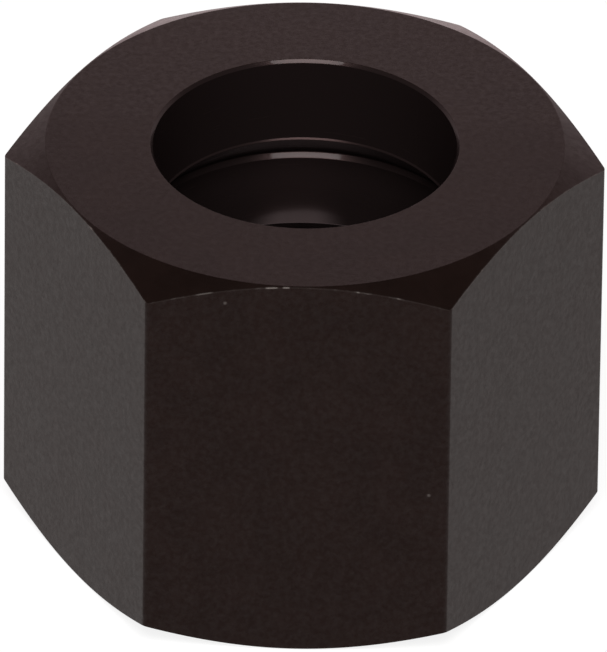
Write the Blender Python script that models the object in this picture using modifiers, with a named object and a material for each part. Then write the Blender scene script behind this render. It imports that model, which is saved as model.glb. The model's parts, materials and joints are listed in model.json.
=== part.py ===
"""A hexagonal clamp nut for a collet chuck, turned in one piece from steel bar.

The nut stands on its rear face. The origin is the centre of that face, +Z runs
along the thread axis to the front face, and one wrench flat faces -Y.
"""

import math

import bmesh
import bpy
from mathutils import Matrix

MM = 0.001

# Thread, in millimetres, bored to its minor diameter
THREAD_DIAMETER = 18.0
THREAD_PITCH = 1.5
THREAD_LENGTH = 7.5  # from the rear face
MINOR_STEP_PER_PITCH = 1.0825  # on diameter, for a 60 degree metric thread

# Outside
WALL = 3.0  # from the thread out to the wrench flats
ACROSS_FLATS = THREAD_DIAMETER + 2 * WALL  # 24 mm, the spanner's size
HEIGHT = 20.0
CHAMFER_ANGLE = 30.0  # of the turned ends, measured from the end face
END_FACE_MARGIN = 0.06  # from the end face's circle out to the wrench flats

# Mouth in the front face, which the collet's nose comes through
MOUTH_DIAMETER = 14.0
MOUTH_EDGE = 0.15  # depth of the edge break
MOUTH_LAND = 4.37  # straight wall from the front face down to the collet seat

# Collet seat, and the undercut behind it that the collet's head snaps into
SEAT_ANGLE = 42.0  # of the seat's cone to the axis
UNDERCUT_DEPTH = 0.19  # on radius, past the guide bore
UNDERCUT_WIDTH = 0.05
EDGE_ANGLE = 40.0  # of the mouth's edge break and the undercut's lower flank, to the axis

# Groove that the thread runs out into, and the chamfer that it starts from
RUNOUT_CLEARANCE = 0.3  # on diameter, over the thread
RUNOUT_FLOOR = 0.8  # width of the groove's straight wall
RUNOUT_ANGLE = 45.0  # of the groove's flanks, to the axis
REAR_CHAMFER = 0.2  # leg of the 45 degree chamfer at the rear face

# Fineness of the round faces, and how far a cutter runs past what it cuts
OUTER_SEGMENTS = 144
BORE_SEGMENTS = 96
OVERRUN = 1.0
SHARP_ANGLE = math.radians(20)
END_FACE_NORMAL = 0.999

STEEL_COLOUR = (0.030, 0.025, 0.024, 1.0)
STEEL_ROUGHNESS = 0.35


def clear_scene():
    for old in list(bpy.data.objects):
        bpy.data.objects.remove(old, do_unlink=True)


def new_collection(name):
    collection = bpy.data.collections.new(name)
    bpy.context.scene.collection.children.link(collection)
    return collection


def blackened_steel():
    material = bpy.data.materials.new("blackened_steel")
    material.use_nodes = True
    shader = material.node_tree.nodes["Principled BSDF"]
    shader.inputs["Base Color"].default_value = STEEL_COLOUR
    shader.inputs["Metallic"].default_value = 0.0
    shader.inputs["Roughness"].default_value = STEEL_ROUGHNESS
    return material


def corner_radius(across_flats):
    return across_flats / 2 / math.cos(math.radians(30))


def hexagonal_bar(name, across_flats, bottom, top, collection):
    """A six-sided bar with two of its flats square to Y."""
    stock = bmesh.new()
    raised = Matrix.Translation((0, 0, (top + bottom) / 2 * MM))
    bmesh.ops.create_cone(
        stock,
        cap_ends=True,
        segments=6,
        radius1=corner_radius(across_flats) * MM,
        radius2=corner_radius(across_flats) * MM,
        depth=(top - bottom) * MM,
        matrix=raised @ Matrix.Rotation(math.radians(30), 4, "Z"),
    )
    mesh = bpy.data.meshes.new(name)
    stock.to_mesh(mesh)
    stock.free()
    bar = bpy.data.objects.new(name, mesh)
    collection.objects.link(bar)
    return bar


def turned(name, profile, segments, collection):
    """A solid turned round Z from (radius, height) points that run from its top to its bottom."""
    outline = bpy.data.meshes.new(name + "_profile")
    points = [(radius * MM, 0, height * MM) for radius, height in profile]
    outline.from_pydata(points, [(i, i + 1) for i in range(len(points) - 1)], [])
    solid = bpy.data.objects.new(name, outline)
    collection.objects.link(solid)

    screw = solid.modifiers.new("turn", "SCREW")
    screw.axis = "Z"
    screw.steps = segments
    screw.render_steps = segments
    screw.use_merge_vertices = True
    screw.merge_threshold = 0.00001
    # Turned by half a facet, so that no facet's edge meets a corner of the hexagon
    solid.rotation_euler.z = math.pi / segments
    bpy.context.view_layer.update()

    evaluated = solid.evaluated_get(bpy.context.evaluated_depsgraph_get())
    mesh = bpy.data.meshes.new_from_object(evaluated)
    solid.modifiers.clear()
    solid.data = mesh
    bpy.data.meshes.remove(outline)
    shade_turned(mesh)
    return solid


def shade_turned(mesh):
    """Smooth round faces, flat end faces, and a crisp edge wherever the profile turns."""
    mesh.shade_smooth()
    mesh.set_sharp_from_angle(angle=SHARP_ANGLE)
    for face in mesh.polygons:
        face.use_smooth = abs(face.normal.z) < END_FACE_NORMAL


def outer_profile():
    """The two end faces, each with a cone that runs out past the hexagon's corners."""
    face = ACROSS_FLATS / 2 - END_FACE_MARGIN
    clear = corner_radius(ACROSS_FLATS) + OVERRUN
    drop = (clear - face) * math.tan(math.radians(CHAMFER_ANGLE))
    return [
        (0, HEIGHT),
        (face, HEIGHT),
        (clear, HEIGHT - drop),
        (clear, drop),
        (face, 0),
        (0, 0),
    ]


def bore_profile():
    """The hollow, from above the mouth down past the chamfer in the rear face."""
    mouth = MOUTH_DIAMETER / 2
    guide = (THREAD_DIAMETER - MINOR_STEP_PER_PITCH * THREAD_PITCH) / 2
    undercut = guide + UNDERCUT_DEPTH
    runout = (THREAD_DIAMETER + RUNOUT_CLEARANCE) / 2
    edge_slope = math.tan(math.radians(EDGE_ANGLE))

    seat_top = HEIGHT - MOUTH_LAND
    seat_bottom = seat_top - (undercut - mouth) / math.tan(math.radians(SEAT_ANGLE))
    lip_top = seat_bottom - UNDERCUT_WIDTH
    lip_bottom = lip_top - (undercut - guide) / edge_slope
    flank = (runout - guide) / math.tan(math.radians(RUNOUT_ANGLE))
    runout_bottom = THREAD_LENGTH + flank
    runout_top = runout_bottom + RUNOUT_FLOOR
    return [
        (0, HEIGHT + OVERRUN),
        (mouth + (MOUTH_EDGE + OVERRUN) * edge_slope, HEIGHT + OVERRUN),
        (mouth, HEIGHT - MOUTH_EDGE),
        (mouth, seat_top),
        (undercut, seat_bottom),
        (undercut, lip_top),
        (guide, lip_bottom),
        (guide, runout_top + flank),
        (runout, runout_top),
        (runout, runout_bottom),
        (guide, THREAD_LENGTH),
        (guide, REAR_CHAMFER),
        (guide + REAR_CHAMFER + OVERRUN, -OVERRUN),
        (0, -OVERRUN),
    ]


def add_boolean(target, cutter, operation):
    boolean = target.modifiers.new(cutter.name, "BOOLEAN")
    boolean.operation = operation
    boolean.solver = "EXACT"
    boolean.object = cutter
    cutter.hide_render = True
    cutter.display_type = "WIRE"


def main():
    clear_scene()
    parts = new_collection("clamp_nut")
    cutters = new_collection("cutters")

    nut = hexagonal_bar("nut_body", ACROSS_FLATS, -OVERRUN, HEIGHT + OVERRUN, parts)
    nut.data.materials.append(blackened_steel())
    add_boolean(nut, turned("turned_ends", outer_profile(), OUTER_SEGMENTS, cutters), "INTERSECT")
    add_boolean(nut, turned("bore", bore_profile(), BORE_SEGMENTS, cutters), "DIFFERENCE")


main()
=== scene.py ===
# %% [markdown]
# # A hexagonal clamp nut
#
# The nut holds a collet in a tool holder. It is one piece of steel, turned and
# bored from hexagonal bar and then blackened. This lesson models it as the
# machinist makes it: a bar, two turned ends, a stepped bore and a cut thread.
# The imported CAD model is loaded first, because every size must agree with it.

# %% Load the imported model
import json
import math

import bmesh
import bpy
from mathutils import Matrix, Vector

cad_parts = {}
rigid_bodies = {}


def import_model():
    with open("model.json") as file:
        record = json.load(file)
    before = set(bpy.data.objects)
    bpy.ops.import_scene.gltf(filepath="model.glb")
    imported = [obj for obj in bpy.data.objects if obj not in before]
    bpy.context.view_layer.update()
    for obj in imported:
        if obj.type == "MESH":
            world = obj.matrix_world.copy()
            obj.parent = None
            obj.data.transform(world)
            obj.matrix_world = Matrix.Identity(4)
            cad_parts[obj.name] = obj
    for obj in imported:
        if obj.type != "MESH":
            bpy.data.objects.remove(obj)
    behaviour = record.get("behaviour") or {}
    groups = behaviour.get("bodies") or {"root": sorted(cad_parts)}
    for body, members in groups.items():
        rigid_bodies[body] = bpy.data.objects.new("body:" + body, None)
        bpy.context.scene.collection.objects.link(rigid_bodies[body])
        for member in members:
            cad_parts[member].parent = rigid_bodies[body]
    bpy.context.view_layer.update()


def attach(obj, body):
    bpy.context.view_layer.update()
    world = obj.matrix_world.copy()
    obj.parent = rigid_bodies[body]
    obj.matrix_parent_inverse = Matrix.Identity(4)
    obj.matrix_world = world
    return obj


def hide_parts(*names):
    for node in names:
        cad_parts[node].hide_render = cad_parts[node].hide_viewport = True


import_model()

MM = 0.001

# %% [markdown]
# ## The camera
#
# The photograph looks down on the nut from the front at about 34 degrees, from
# far away, so its edges hardly converge. A long lens one metre off does the
# same. The nut was a little turned and the camera a little tilted, and the two
# small angles below repeat that.

# %% Place the camera
ELEVATION = math.radians(33.667)
TURN = math.radians(0.953)
TILT = math.radians(-0.732)
DISTANCE = 1.0
AIM_RIGHT = 0.0394 * MM
AIM_UP = 8.2382 * MM
LENS = 1187.4

turned = Matrix.Rotation(TURN, 3, "Z")
right = turned @ Vector((1, 0, 0))
up = turned @ Vector((0, math.sin(ELEVATION), math.cos(ELEVATION)))
look = turned @ Vector((0, math.cos(ELEVATION), -math.sin(ELEVATION)))
across = right * math.cos(TILT) - up * math.sin(TILT)
upright = right * math.sin(TILT) + up * math.cos(TILT)

bpy.ops.object.camera_add()
camera = bpy.context.object
camera.name = "camera"
camera.matrix_world = (
    Matrix.Translation(right * AIM_RIGHT + up * AIM_UP - look * DISTANCE)
    @ Matrix((across, upright, -look)).transposed().to_4x4()
)
camera.data.lens = LENS
camera.data.sensor_width = 36
camera.data.clip_end = 20
bpy.context.scene.camera = camera
print("Camera at", [round(v, 3) for v in camera.location])

# %% [markdown]
# ## Sizes
#
# All sizes are in millimetres. They are those of the CAD model, apart from a
# fine ridge in the mouth that only this model has. The thread and the flats are
# given by their full width, and the end face, mouth, guide, undercut and run-out
# by their radius. The thread is a metric one, 18 mm across with a pitch of
# 1.5 mm. Its minor diameter, which the bore is turned to before the thread is
# cut, follows from those two.

# %% Sizes of the nut
THREAD_DIAMETER = 18.0
PITCH = 1.5
MINOR_STEP_PER_PITCH = 1.0825  # on diameter, for a 60 degree metric thread
THREAD_LENGTH = 7.5
ACROSS_FLATS = 24.0
HEIGHT = 20.0
CHAMFER_ANGLE = math.radians(30)
END_FACE_MARGIN = 0.06  # from the end face's circle out to the wrench flats
END_FACE = ACROSS_FLATS / 2 - END_FACE_MARGIN
MOUTH = 7.0
MOUTH_EDGE = 0.15
EDGE_SLOPE = math.tan(math.radians(40))
MOUTH_LAND = 4.37
RIDGE = 0.06  # how far the fine ridge stands into the mouth
RIDGE_LAND = 0.04
SEAT_ANGLE = math.radians(42)
GUIDE = (THREAD_DIAMETER - MINOR_STEP_PER_PITCH * PITCH) / 2
UNDERCUT_DEPTH = 0.19
UNDERCUT = GUIDE + UNDERCUT_DEPTH
UNDERCUT_WIDTH = 0.05
RUNOUT_CLEARANCE = 0.15  # on radius, over the thread
RUNOUT = THREAD_DIAMETER / 2 + RUNOUT_CLEARANCE
RUNOUT_FLOOR = 0.8
REAR_CHAMFER = 0.2
BAR_CORNER = ACROSS_FLATS / 2 / math.cos(math.radians(30))
print(f"Guide bore {2 * GUIDE:.2f} mm, hexagon {2 * BAR_CORNER:.2f} mm over its corners")

# %% [markdown]
# ## Small tools for modelling
#
# An operator acts on all that is selected, so each step starts by selecting
# nothing. These helpers do that, open and close edit mode, pick edges by where
# they are, apply a modifier and count the edges that are left open.


# %% Helpers for selecting and editing
def select_none():
    for other in bpy.context.view_layer.objects:
        other.select_set(False)


def select_only(piece):
    select_none()
    piece.select_set(True)
    bpy.context.view_layer.objects.active = piece


def edit(piece):
    select_only(piece)
    bpy.ops.object.mode_set(mode="EDIT")
    bpy.ops.mesh.select_all(action="SELECT")


def leave_edit():
    bpy.ops.object.mode_set(mode="OBJECT")


def pick_edges(piece, test):
    """In edit mode, select the edges whose two ends pass the test."""
    bpy.ops.mesh.select_mode(type="EDGE")
    bpy.ops.mesh.select_all(action="DESELECT")
    mesh = bmesh.from_edit_mesh(piece.data)
    for edge in mesh.edges:
        edge.select_set(test(edge.verts[0].co, edge.verts[1].co))
    bmesh.update_edit_mesh(piece.data)


def apply_modifier(piece, modifier):
    select_only(piece)
    bpy.ops.object.modifier_apply(modifier=modifier.name)


def open_edges(piece):
    mesh = bmesh.new()
    mesh.from_mesh(piece.data)
    count = sum(1 for edge in mesh.edges if not edge.is_manifold)
    mesh.free()
    return count


# %% [markdown]
# ## The turned blank
#
# A lathe makes every round face of the nut: the two ends with their chamfers,
# the mouth, the cone that the collet seats on, the undercut behind it, the
# guide bore and the groove where the thread runs out. One half section holds
# them all. Real edges are never knife sharp, so nearly every corner of the
# section has its own small rounding, which catches the light as a thin line. A
# fine ridge just above the seat draws the thin bright line deep in the mouth.
#
# A circle could be extruded and scaled for each step of the section. Drawing
# the section once and spinning it round the axis is closer to turning, and
# takes far fewer steps.


# %% The half section, with its corners rounded
def rounded(corners, finest=math.radians(12)):
    """Points of a closed section from corners of (radius, height, rounding)."""
    points = []
    for i, (radius, height, rounding) in enumerate(corners):
        here = Vector((radius, height))
        back = (Vector(corners[i - 1][:2]) - here).normalized()
        onward = (Vector(corners[(i + 1) % len(corners)][:2]) - here).normalized()
        if rounding == 0:
            points.append(here)
            continue
        half = back.angle(onward) / 2
        centre = here + (back + onward).normalized() * rounding / math.sin(half)
        first = here + back * rounding / math.tan(half) - centre
        last = here + onward * rounding / math.tan(half) - centre
        swing = first.angle_signed(last)
        steps = math.ceil(abs(swing) / finest)
        for k in range(steps + 1):
            points.append(centre + Matrix.Rotation(-swing * k / steps, 2) @ first)
    return points


OVERRUN = 1.0
# Radii of the roundings, from the finest to the largest
CRISP = 0.02
LIP_EDGE = 0.04
BORE_EDGE = 0.05
GROOVE_EDGE = 0.06
END_EDGE = 0.12
GROOVE_CORNER = 0.2

clear = BAR_CORNER + OVERRUN
drop = (clear - END_FACE) * math.tan(CHAMFER_ANGLE)
seat_top = HEIGHT - MOUTH_LAND
seat_bottom = seat_top - (UNDERCUT - MOUTH) / math.tan(SEAT_ANGLE)
lip_top = seat_bottom - UNDERCUT_WIDTH
lip_bottom = lip_top - (UNDERCUT - GUIDE) / EDGE_SLOPE
flank = RUNOUT - GUIDE
groove_bottom = THREAD_LENGTH + flank
groove_top = groove_bottom + RUNOUT_FLOOR
section = rounded([
    (MOUTH + MOUTH_EDGE * EDGE_SLOPE, HEIGHT, CRISP),
    (END_FACE, HEIGHT, END_EDGE),
    (clear, HEIGHT - drop, 0),
    (clear, drop, 0),
    (END_FACE, 0, END_EDGE),
    (GUIDE + REAR_CHAMFER, 0, BORE_EDGE),
    (GUIDE, REAR_CHAMFER, BORE_EDGE),
    (GUIDE, THREAD_LENGTH, BORE_EDGE),
    (RUNOUT, groove_bottom, GROOVE_CORNER),
    (RUNOUT, groove_top, GROOVE_CORNER),
    (GUIDE, groove_top + flank, GROOVE_EDGE),
    (GUIDE, lip_bottom, LIP_EDGE),
    (UNDERCUT, lip_top, CRISP),
    (UNDERCUT, seat_bottom, CRISP),
    (MOUTH - RIDGE, seat_top, CRISP),
    (MOUTH - RIDGE, seat_top + RIDGE_LAND, 0),
    (MOUTH, seat_top + RIDGE_LAND + RIDGE / EDGE_SLOPE, 0),
    (MOUTH, HEIGHT - MOUTH_EDGE, CRISP),
])
print(f"{len(section)} points in the section, seat from {seat_top:.2f} down to {seat_bottom:.2f} mm")

# %% Draw the section and spin it
SECTORS = 240

select_none()
start = section[0] * MM
bpy.ops.mesh.primitive_plane_add(size=MM, location=(start.x, 0, start.y))
blank = bpy.context.object
blank.name = "turned_blank"
bpy.ops.object.transform_apply(location=True, rotation=True, scale=True)
edit(blank)
bpy.ops.mesh.merge(type="CENTER")
for here, there in zip(section, section[1:] + section[:1]):
    step = (there - here) * MM
    bpy.ops.mesh.extrude_vertices_move(TRANSFORM_OT_translate={"value": (step.x, 0, step.y)})
bpy.ops.mesh.select_all(action="SELECT")
bpy.ops.mesh.remove_doubles(threshold=0.001 * MM)
bpy.ops.mesh.spin(steps=SECTORS, angle=math.tau, center=(0, 0, 0), axis=(0, 0, 1))
bpy.ops.mesh.select_all(action="SELECT")
bpy.ops.mesh.remove_doubles(threshold=0.001 * MM)
bpy.ops.mesh.normals_make_consistent(inside=False)
leave_edit()
print("Turned blank:", len(blank.data.polygons), "faces,", open_edges(blank), "open edges")

# %% [markdown]
# ## The hexagonal bar
#
# Drawn bar has six flat sides and slightly rounded long edges. A six-sided
# cylinder gives the flats, and a bevel on its six long edges gives the
# rounding. Where this bar and the turned blank overlap is the nut: the cone
# of each end cuts the flats in the arcs that every turned hexagon has.

# %% Make the bar and keep what lies in both
BAR_EDGE = 0.3

select_none()
bpy.ops.mesh.primitive_cylinder_add(
    vertices=6,
    radius=BAR_CORNER * MM,
    depth=(HEIGHT + 2 * OVERRUN) * MM,
    location=(0, 0, HEIGHT / 2 * MM),
    rotation=(0, 0, math.radians(30)),
)
nut = bpy.context.object
nut.name = "clamp_nut"
bpy.ops.object.transform_apply(location=True, rotation=True, scale=True)
edit(nut)
pick_edges(nut, lambda a, b: (a.xy - b.xy).length < 0.1 * MM)
bpy.ops.mesh.bevel(
    offset=BAR_EDGE * math.tan(math.radians(30)) * MM,
    offset_type="OFFSET",
    segments=5,
    profile=0.5,
    affect="EDGES",
)
leave_edit()

turning = nut.modifiers.new("turning", "BOOLEAN")
turning.operation = "INTERSECT"
turning.solver = "EXACT"
turning.object = blank
apply_modifier(nut, turning)
bpy.data.objects.remove(blank, do_unlink=True)
print("Nut before its thread:", len(nut.data.polygons), "faces,", open_edges(nut), "open edges")

# %% [markdown]
# ## The thread
#
# A thread is a groove of the same shape carried round in a helix. So its cutter
# is a four-cornered section, narrow at the thread's root and wide where it
# leaves the metal, swept by a Screw modifier. It starts below the rear face and
# ends inside the run-out groove, where a real tool stops cutting. The helix is
# right-handed: it climbs as it goes round anticlockwise.

# %% Sweep the thread's cutter and cut with it
TURNS = 7
TURN_STEPS = 96
ROOT_HALF = PITCH / 16
REACH = 0.2
THREAD_FLANK = math.radians(30)

inner = GUIDE - REACH
outer = THREAD_DIAMETER / 2
inner_half = ROOT_HALF + (outer - inner) * math.tan(THREAD_FLANK)
cutter_top = (groove_bottom + groove_top) / 2
cutter_start = cutter_top - TURNS * PITCH

select_none()
bpy.ops.mesh.primitive_plane_add(
    size=MM,
    location=((inner + outer) / 2 * MM, 0, cutter_start * MM),
    rotation=(math.radians(90), 0, 0),
)
cutter = bpy.context.object
cutter.name = "thread_cutter"
cutter.scale = (outer - inner, 2 * inner_half, 1)
bpy.ops.object.transform_apply(location=True, rotation=True, scale=True)
edit(cutter)
pick_edges(cutter, lambda a, b: min(a.x, b.x) > (inner + outer) / 2 * MM)
bpy.ops.transform.resize(
    value=(1, 1, ROOT_HALF / inner_half),
    center_override=(outer * MM, 0, cutter_start * MM),
)
bpy.ops.mesh.select_all(action="SELECT")
bpy.ops.mesh.delete(type="ONLY_FACE")
leave_edit()

sweep = cutter.modifiers.new("helix", "SCREW")
sweep.axis = "Z"
sweep.angle = math.tau
sweep.screw_offset = PITCH * MM
sweep.iterations = TURNS
sweep.steps = TURN_STEPS
sweep.render_steps = TURN_STEPS
apply_modifier(cutter, sweep)
edit(cutter)
bpy.ops.mesh.fill_holes(sides=4)
bpy.ops.mesh.normals_make_consistent(inside=False)
leave_edit()
print("Thread cutter:", len(cutter.data.polygons), "faces,", open_edges(cutter), "open edges")

quarter = [v.co for v in cutter.data.vertices if abs(v.co.x) < 0.01 * MM and v.co.y > 0]
lowest = min(point.z for point in quarter) / MM
rise = lowest - (cutter_start - inner_half)
print(f"The helix has climbed {rise:.3f} mm at +Y, a quarter of the pitch is {PITCH / 4:.3f} mm")

threading = nut.modifiers.new("threading", "BOOLEAN")
threading.operation = "DIFFERENCE"
threading.solver = "EXACT"
threading.object = cutter
apply_modifier(nut, threading)
bpy.data.objects.remove(cutter, do_unlink=True)
print("Threaded nut:", len(nut.data.polygons), "faces,", open_edges(nut), "open edges")

# %% [markdown]
# ## Shading
#
# The round faces are made of flat facets, so they are shaded smooth, while
# edges that turn by more than 20 degrees stay crisp. A Weighted Normal modifier
# then lets the large flat faces keep their own direction, so that the small
# roundings beside them take up all the bend.

# %% Smooth the round faces and keep the flats flat
select_only(nut)
bpy.ops.object.shade_smooth_by_angle(angle=math.radians(20))
even = nut.modifiers.new("even_flats", "WEIGHTED_NORMAL")
even.keep_sharp = True
even.weight = 100
apply_modifier(nut, even)
nut.data.calc_loop_triangles()
print("Finished nut:", len(nut.data.loop_triangles), "triangles")

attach(nut, "root")
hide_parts("nut_body")

# %% [markdown]
# ## Shader arithmetic
#
# A finish is built from masks and noise, which are numbers that vary over the
# surface. Wiring a Math node for each sum by hand is slow to read, so a small
# class wraps a socket and lets Python's own signs add those nodes. A second one
# holds the tree and makes every other node.


# %% A class for one value
class Value:
    """One output socket, on which + - * and comparisons add Math nodes."""

    def __init__(self, finish, socket):
        self.finish = finish
        self.socket = socket

    def maths(self, operation, first, second=0.0):
        return self.finish.node("ShaderNodeMath", 0, {"operation": operation}, {0: first, 1: second})

    def __add__(self, other):
        return self.maths("ADD", self, other)

    def __radd__(self, other):
        return self.maths("ADD", other, self)

    def __sub__(self, other):
        return self.maths("SUBTRACT", self, other)

    def __rsub__(self, other):
        return self.maths("SUBTRACT", other, self)

    def __mul__(self, other):
        return self.maths("MULTIPLY", self, other)

    def __rmul__(self, other):
        return self.maths("MULTIPLY", other, self)

    def __abs__(self):
        return self.maths("ABSOLUTE", self)

    def __gt__(self, other):
        return self.maths("GREATER_THAN", self, other)

    def __lt__(self, other):
        return self.maths("LESS_THAN", self, other)

    def root(self):
        return self.maths("SQRT", self)

    def larger(self, other):
        return self.maths("MAXIMUM", self, other)

    def step(self, low, high):
        """0 below low and 1 above high, with a soft rise between."""
        return self.finish.node(
            "ShaderNodeMapRange",
            "Result",
            {"interpolation_type": "SMOOTHSTEP"},
            {"Value": self, "From Min": low, "From Max": high},
        )

    def sibling(self, name):
        """Another output of the same node."""
        return Value(self.finish, self.socket.node.outputs[name])


# %% A class for a tree of nodes
class Finish:
    """A node tree and the one way to add a node to it."""

    def __init__(self, tree):
        self.tree = tree

    def node(self, kind, output, settings=None, sockets=None):
        made = self.tree.nodes.new(kind)
        for name, setting in (settings or {}).items():
            setattr(made, name, setting)
        for key, value in (sockets or {}).items():
            if isinstance(value, Value):
                self.tree.links.new(value.socket, made.inputs[key])
            else:
                made.inputs[key].default_value = value
        return Value(self, made.outputs[output]) if output is not None else made

    def blend(self, factor, first, second):
        """One colour turning into another."""
        return self.node("ShaderNodeMix", 2, {"data_type": "RGBA"}, {0: factor, 6: first, 7: second})

    def vector(self, x, y, z):
        return self.node("ShaderNodeCombineXYZ", 0, {}, {0: x, 1: y, 2: z})

    def noise(self, where, scale, detail=2.0, roughness=0.5):
        return self.node(
            "ShaderNodeTexNoise",
            0,
            {},
            {"Vector": where, "Scale": scale, "Detail": detail, "Roughness": roughness},
        )


def new_material(name):
    material = bpy.data.materials.new(name)
    material.use_nodes = True
    material.node_tree.nodes.clear()
    return material, Finish(material.node_tree)


# %% [markdown]
# ## Blackened steel
#
# Black oxide is a thin dark skin on the steel, sealed with oil. It reflects
# very little face on and much more at a shallow angle, with a slightly warm
# tone. The turned faces have fine rings from the tool. The flats have the even
# grain of drawn bar, a little longer along the bar. The guide bore is smooth and
# oiled, so it shines, and the mouth's rim and the undercut's lip shine a little.
# Outside, the oil lies in fine patches that show as a faint mottling. The skin
# is thin along the arcs where the cones cut the flats, and a few knocks and
# specks go deeper.
#
# Image textures could paint all this, but masks worked out from the distance to
# the axis and to the six flats fit the shape exactly and need no unwrapping. The
# slacks are the hundredths of a millimetre by which a mask stops short of an
# edge or reaches past it, because facets and roundings put the surface a little
# off its ideal place.

# %% Masks from the place on the nut
BORE_REACH = 9.7  # a radius past the widest groove
OIL_THINS = 11.3  # height where the guide's oil begins to fade, going up
OIL_ENDS = 12.8
FLAT_SLACK = 0.005
END_SLACK = 0.01
LIP_SLACK = 0.02
GUIDE_SLACK = 0.03

steel, finish = new_material("blackened_steel_fine")
place = finish.node("ShaderNodeTexCoord", "Object")
x = finish.node("ShaderNodeSeparateXYZ", "X", {}, {0: place})
y = x.sibling("Y")
z = x.sibling("Z")
radius = (x * x + y * y).root()

flat_distance = abs(y)
for bearing in (math.radians(30), math.radians(150)):
    flat_distance = flat_distance.larger(abs(x * math.cos(bearing) + y * math.sin(bearing)))
to_flat = ACROSS_FLATS / 2 * MM - flat_distance
half_height = abs(z - HEIGHT / 2 * MM)
to_end = HEIGHT / 2 * MM - half_height
to_cone = (to_end - (radius - END_FACE * MM) * math.tan(CHAMFER_ANGLE)) * math.cos(CHAMFER_ANGLE)
in_bore = (radius < BORE_REACH * MM) * (to_end > END_SLACK * MM)
oiled = 1 - z.step(OIL_THINS * MM, OIL_ENDS * MM)
on_guide = (radius < (GUIDE + GUIDE_SLACK) * MM) * (z > groove_top * MM) * oiled
on_rim = (radius > (MOUTH + END_SLACK) * MM) * (z > (HEIGHT - MOUTH_EDGE) * MM) * in_bore
over_lip_bottom = z > (lip_bottom - LIP_SLACK) * MM
under_lip_top = z < (lip_top - LIP_SLACK) * MM
on_lip = in_bore * (radius > (GUIDE + LIP_SLACK) * MM) * over_lip_bottom * under_lip_top
on_flat = to_flat < FLAT_SLACK * MM
print("Masks:", len(steel.node_tree.nodes), "nodes")

# %% [markdown]
# ## Grain, rings and patches
#
# Every pattern is noise, and its scale says how many cells it has in a metre, so
# 9000 makes cells of about a ninth of a millimetre. The rings are fine across
# the radius and long around it. The marks in the bore are fine along the axis
# and long around it. Both take their place around the axis from x and y.

# %% Grain of the flats, rings of the turned faces and marks in the bore
AROUND = 1 / 0.012
MARK_AROUND = 1.5  # the bore's marks, against the rings
RING_SCALE = 9000
MARK_SCALE = 7000
GRAIN_ACROSS = 3800
GRAIN_ALONG = 1500

bearing_x = x * AROUND
bearing_y = y * AROUND
ring_place = finish.vector(radius * RING_SCALE, bearing_x, bearing_y)
rings = finish.noise(ring_place, 1.0, 3.0, 0.6)
mark_place = finish.vector(z * MARK_SCALE, bearing_x * MARK_AROUND, bearing_y * MARK_AROUND)
bore_marks = finish.noise(mark_place, 1.0, 3.0, 0.6)
grain_place = finish.vector(x * GRAIN_ACROSS, y * GRAIN_ACROSS, z * GRAIN_ALONG)
grain = finish.noise(grain_place, 1.0, 4.0, 0.7)
relief = grain * on_flat + (1 - on_flat) * (bore_marks * in_bore + rings * (1 - in_bore))

mottle = finish.noise(place, 420.0, 3.0, 0.6)
speckle = finish.noise(place, 7500.0, 2.0, 0.6)
cloud = finish.noise(place, 3400.0, 3.0, 0.6)
print("With grain, rings and patches:", len(steel.node_tree.nodes), "nodes")

# %% [markdown]
# ## Wear
#
# A nut that is tightened with a spanner wears where its cones cut the flats. A
# thin line of wear follows those arcs. It goes deeper in random spots, and at
# three knocks on the near arc at the top. A knock is given by its place along X,
# its reach and its wear, and a speck on the near flat by its place along X and
# its height.

# %% Worn arcs, knocks and specks
KNOCKS = ((-4.30, 0.50, 0.30), (-1.24, 0.34, 0.75), (-0.57, 0.20, 0.70))
SPECKS = ((-3.35, 19.05), (6.08, 8.72))
EVEN_WEAR = 0.03
PATCHY_WEAR = 0.10
DEEP_WEAR = 0.45
SPECK_WEAR = 0.22

rubbed_place = finish.noise(place, 1300.0, 2.0, 0.7)
arc_edge = 1 - to_flat.larger(to_cone).step(0.01 * MM, 0.05 * MM)
thinned = arc_edge * (EVEN_WEAR + PATCHY_WEAR * rubbed_place.step(0.50, 0.68))
knocked = rubbed_place.step(0.62, 0.70) * DEEP_WEAR
for middle, reach, wear in KNOCKS:
    near = 1 - abs(x - middle * MM).step(reach * 0.4 * MM, reach * MM)
    knocked = knocked.larger(near * (y < 0) * (z > HEIGHT / 2 * MM) * wear)
rubbed = thinned.larger(arc_edge * knocked)
for across_flat, up_flat in SPECKS:
    aside = x - across_flat * MM
    above = z - up_flat * MM
    speck = 1 - (aside * aside + above * above).root().step(0.02 * MM, 0.12 * MM)
    rubbed = rubbed.larger(speck * (y < 0) * on_flat * SPECK_WEAR)
print(f"{len(KNOCKS)} knocks and {len(SPECKS)} specks")

# %% The skin itself
SKIN = (0.0060, 0.0034, 0.0026, 1)
SKIN_PALE = (0.0080, 0.0044, 0.0034, 1)
# Inside the bore the skin is lighter than outside: partly its own tone, partly painted fill light
# that lifts the bore's shade.
SKIN_INSIDE_PAINTED_FILL = (0.0125, 0.0084, 0.0082, 1)
BARE = (0.30, 0.27, 0.25, 1)

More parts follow.
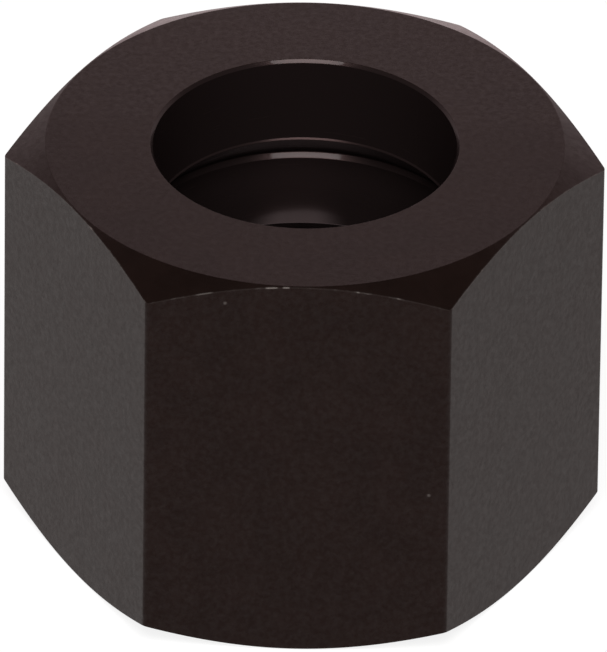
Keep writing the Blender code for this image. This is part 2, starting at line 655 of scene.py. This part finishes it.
skin = finish.blend(mottle.step(0.3, 0.7), SKIN, SKIN_PALE)
# Over the bore, the lighter inside skin, partly painted fill light.
skin = finish.blend(in_bore, skin, SKIN_INSIDE_PAINTED_FILL)
colour = finish.blend(rubbed, skin, BARE)
roughness = 0.22 + 0.10 * relief + 0.08 * mottle - 0.06 * in_bore - 0.10 * on_guide
patches = 0.07 * speckle.step(0.35, 0.75) + 0.17 * cloud.step(0.28, 0.78)
oil = 0.9 * on_guide + 0.15 * (on_rim + on_lip) + (1 - in_bore) * patches
bump = finish.node(
    "ShaderNodeBump",
    "Normal",
    {},
    {"Strength": 0.35, "Distance": 0.004 * MM, "Height": relief * (1 - on_guide)},
)
shader = finish.node(
    "ShaderNodeBsdfPrincipled",
    "BSDF",
    {},
    {
        "Base Color": colour,
        "Metallic": rubbed,
        "Roughness": roughness,
        "IOR": 1.24,
        "Specular Tint": (1.0, 0.64, 0.62, 1),
        "Coat Weight": oil,
        "Coat Roughness": 0.06,
        "Coat IOR": 1.5,
        "Normal": bump,
    },
)
finish.node("ShaderNodeOutputMaterial", None, {}, {"Surface": shader})
nut.data.materials.clear()
nut.data.materials.append(steel)
print("Blackened steel:", len(steel.node_tree.nodes), "nodes")

# %% [markdown]
# ## The floor
#
# The nut was photographed on white. The floor is white to the camera and pale to
# the nut's reflections. It takes a part of its brightness from the light that
# falls on it, so that it keeps a soft shadow. Under the bore a painted shade
# makes it dark to reflections, apart from a band of painted light in the middle
# with a painted rosy tint, and the mirrored band is the soft glow that shows low
# in the mouth.

# %% The floor
FLOOR_GLOW = 0.86
FLOOR_PALE = (0.8, 0.8, 0.8, 1)
FLOOR_SHADE = (0.22, 0.22, 0.22, 1)
FLOOR_REFLECTED = 0.75
# Place and width of the band of painted light under the bore.
BEAM_MIDDLE = 1.0
BEAM_HALF = 2.0
BEAM_REACH = 6.5
WHITE = (1, 1, 1, 1)
WARM_WHITE = (1, 0.94, 0.92, 1)
ROSE_WHITE = (1, 0.79, 0.80, 1)

select_none()
bpy.ops.mesh.primitive_plane_add(size=6, location=(0, 0, -0.02 * MM))
floor = bpy.context.object
floor.name = "floor"
paper, sheet = new_material("pale_floor")
seen = sheet.node("ShaderNodeLightPath", "Is Camera Ray")
mirrored = seen.sibling("Is Glossy Ray")
glow = sheet.node("ShaderNodeEmission", 0, {}, {"Color": WHITE, "Strength": FLOOR_GLOW})
shade = sheet.node("ShaderNodeBsdfDiffuse", 0, {}, {"Color": FLOOR_SHADE})
to_camera = sheet.node("ShaderNodeAddShader", 0, {}, {0: glow, 1: shade})
floor_place = sheet.node("ShaderNodeTexCoord", "Object")
floor_x = sheet.node("ShaderNodeSeparateXYZ", "X", {}, {0: floor_place})
floor_y = floor_x.sibling("Y")
# Painted shade: the floor under the bore is dark to reflections, where the nut shades it.
inside = (floor_x * floor_x + floor_y * floor_y).root() < RUNOUT * MM
# Painted light: a band under the middle of the bore stays bright, as if lamp light fell through the
# mouth.
painted_light_band = 1 - abs(floor_x - BEAM_MIDDLE * MM).step(BEAM_HALF * MM, BEAM_REACH * MM)
# The floor's level to reflections, with the painted shade and painted light under the bore.
painted_reflected_level = FLOOR_REFLECTED * (1 - inside * (1 - painted_light_band))
tone = sheet.blend(inside, WARM_WHITE, ROSE_WHITE)
to_mirror = sheet.node("ShaderNodeEmission", 0, {}, {"Color": tone, "Strength": painted_reflected_level})
plain = sheet.node("ShaderNodeBsdfDiffuse", 0, {}, {"Color": FLOOR_PALE})
unseen = sheet.node("ShaderNodeMixShader", 0, {}, {0: mirrored, 1: plain, 2: to_mirror})
surface = sheet.node("ShaderNodeMixShader", 0, {}, {0: seen, 1: unseen, 2: to_camera})
sheet.node("ShaderNodeOutputMaterial", None, {}, {"Surface": surface})
floor.data.materials.append(paper)
print("Floor:", len(paper.node_tree.nodes), "nodes")

# %% [markdown]
# ## The card
#
# A studio puts a white card behind a dark metal object to brighten the faces
# that mirror it. This one is seen by reflections alone. The far half of the
# nut's front face mirrors it and the near half looks over it, so the face
# darkens towards the viewer.

# %% A card behind the nut, which only its reflections show
CARD_BEHIND = 60.0
CARD_WIDTH = 50.0
CARD_HEIGHT = 58.0
CARD_LEVEL = 1.06

select_none()
bpy.ops.mesh.primitive_plane_add(
    size=MM,
    location=(0, CARD_BEHIND * MM, CARD_HEIGHT / 2 * MM),
    rotation=(math.radians(90), 0, 0),
)
card = bpy.context.object
card.name = "card"
card.scale = (CARD_WIDTH, CARD_HEIGHT, 1)
board, face = new_material("white_card")
mirrored = face.node("ShaderNodeLightPath", "Is Glossy Ray")
lit = face.node("ShaderNodeEmission", 0, {}, {"Color": ROSE_WHITE, "Strength": CARD_LEVEL})
clear_face = face.node("ShaderNodeBsdfTransparent", 0)
shown = face.node("ShaderNodeMixShader", 0, {}, {0: mirrored, 1: clear_face, 2: lit})
face.node("ShaderNodeOutputMaterial", None, {}, {"Surface": shown})
card.data.materials.append(board)
print(f"Card of {CARD_WIDTH:.0f} x {CARD_HEIGHT:.0f} mm, {CARD_BEHIND:.0f} mm behind the axis")

# %% [markdown]
# ## The world
#
# The world is white to the camera. To the nut's reflections it is bright low
# behind the nut, and dim in front and overhead, which is why the chamfers that
# mirror those parts look black.

# %% The world
WORLD_LOW = 0.75
WORLD_MIDDLE = 0.62
WORLD_HIGH = 0.10

world = bpy.data.worlds.new("studio")
world.use_nodes = True
world.node_tree.nodes.clear()
bpy.context.scene.world = world
air = Finish(world.node_tree)
direction = air.node("ShaderNodeTexCoord", "Generated")
height = air.node("ShaderNodeSeparateXYZ", "Z", {}, {0: direction})
behind = height.sibling("Y").step(0.1, 0.5)
sheen = WORLD_LOW + (WORLD_MIDDLE - WORLD_LOW) * height.step(0.15, 0.55)
level = WORLD_HIGH + (sheen - WORLD_HIGH) * behind * (1 - height.step(0.58, 0.90))
seen = air.node("ShaderNodeLightPath", "Is Camera Ray")
strength = level + seen * (1 - level)
tone = air.blend(seen, ROSE_WHITE, WHITE)
background = air.node("ShaderNodeBackground", 0, {}, {"Color": tone, "Strength": strength})
air.node("ShaderNodeOutputWorld", None, {}, {"Surface": background})
print("World:", len(world.node_tree.nodes), "nodes")

# %% [markdown]
# ## The lamp
#
# One oval lamp stands in front of the nut, 51 degrees up. The rim, the ridge
# and the undercut's lip mirror it as the bright lines inside the mouth.

# %% The lamp
LAMP_ELEVATION = math.radians(51)
LAMP_DISTANCE = 0.5
LAMP_WIDTH = 0.375
LAMP_HEIGHT = 0.26
LAMP_RADIANCE = 10.0

select_none()
towards = Vector((0, -math.cos(LAMP_ELEVATION), math.sin(LAMP_ELEVATION)))
bpy.ops.object.light_add(type="AREA", location=towards * LAMP_DISTANCE + Vector((0, 0, HEIGHT * MM)))
lamp = bpy.context.object
lamp.name = "round_lamp"
lamp.rotation_euler = towards.to_track_quat("Z", "Y").to_euler()
lamp.data.shape = "ELLIPSE"
lamp.data.size = LAMP_WIDTH
lamp.data.size_y = LAMP_HEIGHT
lamp.data.energy = LAMP_RADIANCE * math.pi * math.pi * LAMP_WIDTH * LAMP_HEIGHT / 4
print(f"Lamp of {lamp.data.energy:.2f} W")

bpy.context.scene.view_settings.view_transform = "Standard"
